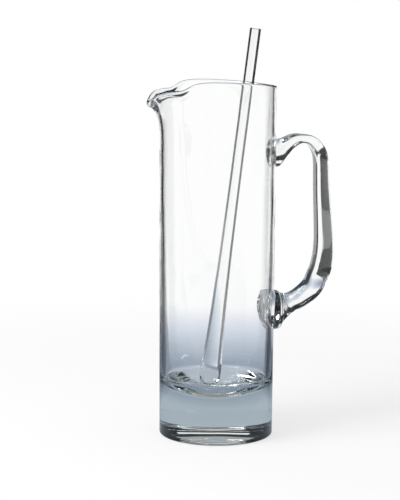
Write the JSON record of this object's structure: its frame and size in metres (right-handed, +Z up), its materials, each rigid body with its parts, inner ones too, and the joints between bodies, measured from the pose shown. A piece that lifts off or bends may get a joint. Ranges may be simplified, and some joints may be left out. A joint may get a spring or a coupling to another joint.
{
  "type": "cocktail pitcher",
  "caption": "Tall clear glass cocktail pitcher with a thick solid base, a pulled pouring lip, an applied glass strap handle and a loose glass stirrer with a paddle end.",
  "frame": {"origin": "on the vessel's axis, on the surface that the base stands on", "axes": "+Z is up along the vessel's axis, the spout points along -X and the handle along +X"},
  "size_m": [0.1483, 0.0918, 0.321],
  "materials": {
    "clear_glass": "fire polished"
  },
  "bodies": {
    "pitcher": {"pitcher_body": "clear_glass", "handle": "clear_glass"},
    "stirrer": {"stirrer": "clear_glass"}
  },
  "joints": [
    {"name": "stirrer_lift", "type": "slide", "parent": "pitcher", "child": "stirrer", "axis": [0, 0, 1], "range_m": [0, 0.26]}
  ]
}
